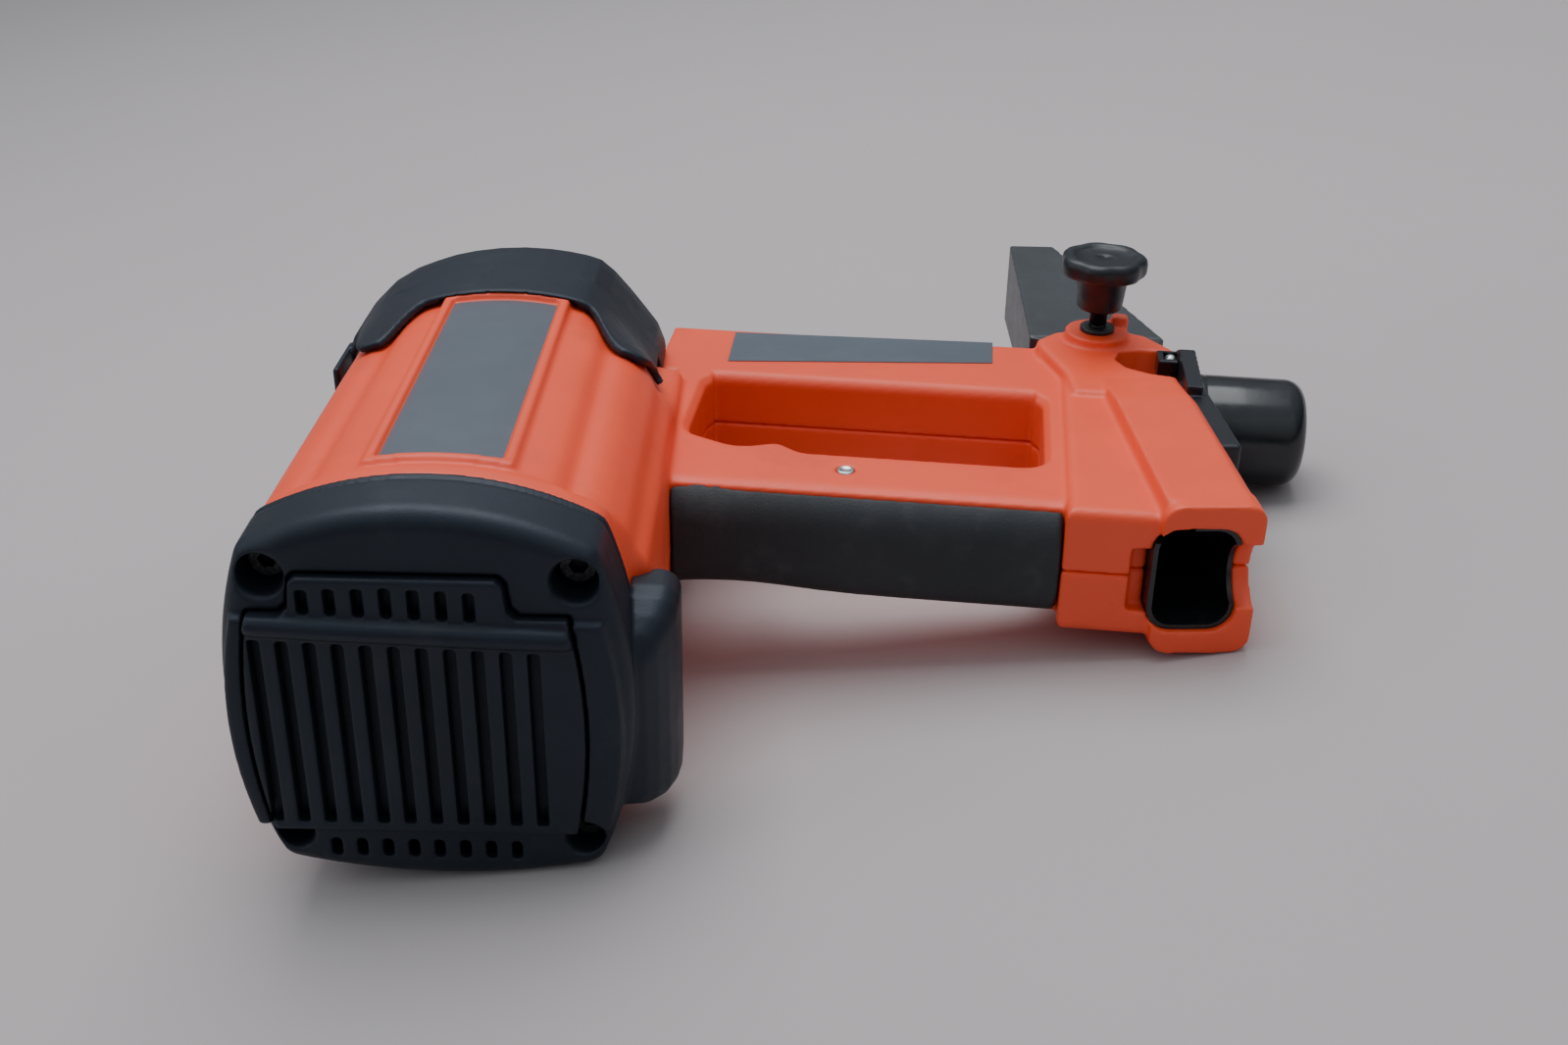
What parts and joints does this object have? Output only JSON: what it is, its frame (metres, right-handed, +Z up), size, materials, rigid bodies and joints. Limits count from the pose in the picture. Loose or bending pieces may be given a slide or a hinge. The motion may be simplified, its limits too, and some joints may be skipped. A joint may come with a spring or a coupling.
{
  "type": "gas nail gun",
  "caption": "Cordless gas nail gun on its left side: domed body, louvred rear cap, hand window grip, fuel door, clamp knob and magazine arm.",
  "frame": {"origin": "centre of the underside of the box round the tool as it lies on its left side", "axes": "+Y is the drive direction, +X runs from the drive axis to the base of the handle, +Z is up from the surface it lies on"},
  "size_m": [0.387, 0.372, 0.1339],
  "materials": {
    "orange_moulding": "saturated orange moulded nylon, satin, lightly worn",
    "charcoal_moulding": "blue-black charcoal moulded plastic, satin",
    "black_moulding": "black moulded plastic",
    "grip_rubber": "dark grey soft rubber",
    "plate_grey": "grey printed foil nameplate, blank",
    "label_slate": "dark slate label film, blank",
    "steel": "bright steel",
    "dark_steel": "blackened steel",
    "cast_alloy": "cast light alloy",
    "arm_paint": "dark grey satin paint",
    "brass": "brass",
    "filter_foam": "filter foam",
    "board_green": "circuit board",
    "ceramic": "glazed insulator"
  },
  "bodies": {
    "tool_body": {"housing_right": "orange_moulding", "housing_left": "orange_moulding", "housing_screws": "steel", "nameplate": "plate_grey", "rail_label": "label_slate", "grip_cover": "grip_rubber", "handle_pin": "steel", "rear_cap": "charcoal_moulding", "cap_grille": "charcoal_moulding", "cap_screws": "dark_steel", "air_filter": "filter_foam", "front_hood": "charcoal_moulding", "cylinder_head": "cast_alloy", "fan_motor": "steel", "spark_plug": "ceramic", "drive_cylinder": "steel", "bumper": "grip_rubber", "nose_flange": "cast_alloy", "nose_screws": "dark_steel", "nose_barrel": "steel", "probe_spring": "steel", "fuel_can": "cast_alloy", "metering_valve": "cast_alloy", "can_spring": "steel", "end_plate": "black_moulding", "detent_clip": "black_moulding", "detent_ball": "steel", "trigger_spring": "steel", "trigger_switch": "black_moulding", "spark_unit": "black_moulding", "control_board": "board_green", "battery_liner": "black_moulding", "battery_contacts": "brass", "support_arm": "arm_paint", "knob_nut": "steel", "knob_washer": "steel"},
    "probe_set": {"probe": "dark_steel", "lift_rods": "steel", "combustion_sleeve": "cast_alloy"},
    "piston_set": {"piston": "cast_alloy", "piston_ring": "dark_steel", "driver_blade": "steel"},
    "fan": {"fan": "black_moulding"},
    "trigger": {"trigger": "black_moulding"},
    "fuel_cap": {"fuel_cap": "black_moulding"},
    "clamp_knob": {"knob": "black_moulding", "knob_screw": "steel"}
  },
  "joints": [
    {"name": "probe_slide", "type": "slide", "parent": "tool_body", "child": "probe_set", "axis": [0, -1, 0], "range_m": [0, 0.0195], "stiffness_N_per_m": 600, "springref_m": -0.012, "deforming": ["probe_spring"]},
    {"name": "piston_slide", "type": "slide", "parent": "tool_body", "child": "piston_set", "axis": [0, 1, 0], "range_m": [0, 0.072]},
    {"name": "fan_spin", "type": "hinge", "parent": "tool_body", "child": "fan", "pos_m": [-0.12215, -0.139, 0.06696], "axis": [0, 1, 0], "continuous": true},
    {"name": "trigger_slide", "type": "slide", "parent": "tool_body", "child": "trigger", "axis": [-0.1034, -0.9945, 0.0151], "range_m": [0, 0.006], "stiffness_N_per_m": 500, "springref_m": -0.004, "deforming": ["trigger_spring"]},
    {"name": "fuel_cap_turn", "type": "hinge", "parent": "tool_body", "child": "fuel_cap", "pos_m": [0.16225, 0.02987, 0.02547], "axis": [0.9841, -0.1045, -0.1436], "range_deg": [0, 90]},
    {"name": "knob_turn", "type": "hinge", "parent": "tool_body", "child": "clamp_knob", "pos_m": [0.11596, 0.06069, 0.08275], "axis": [0.1444, 0, 0.9895], "range_deg": [0, 360]}
  ]
}
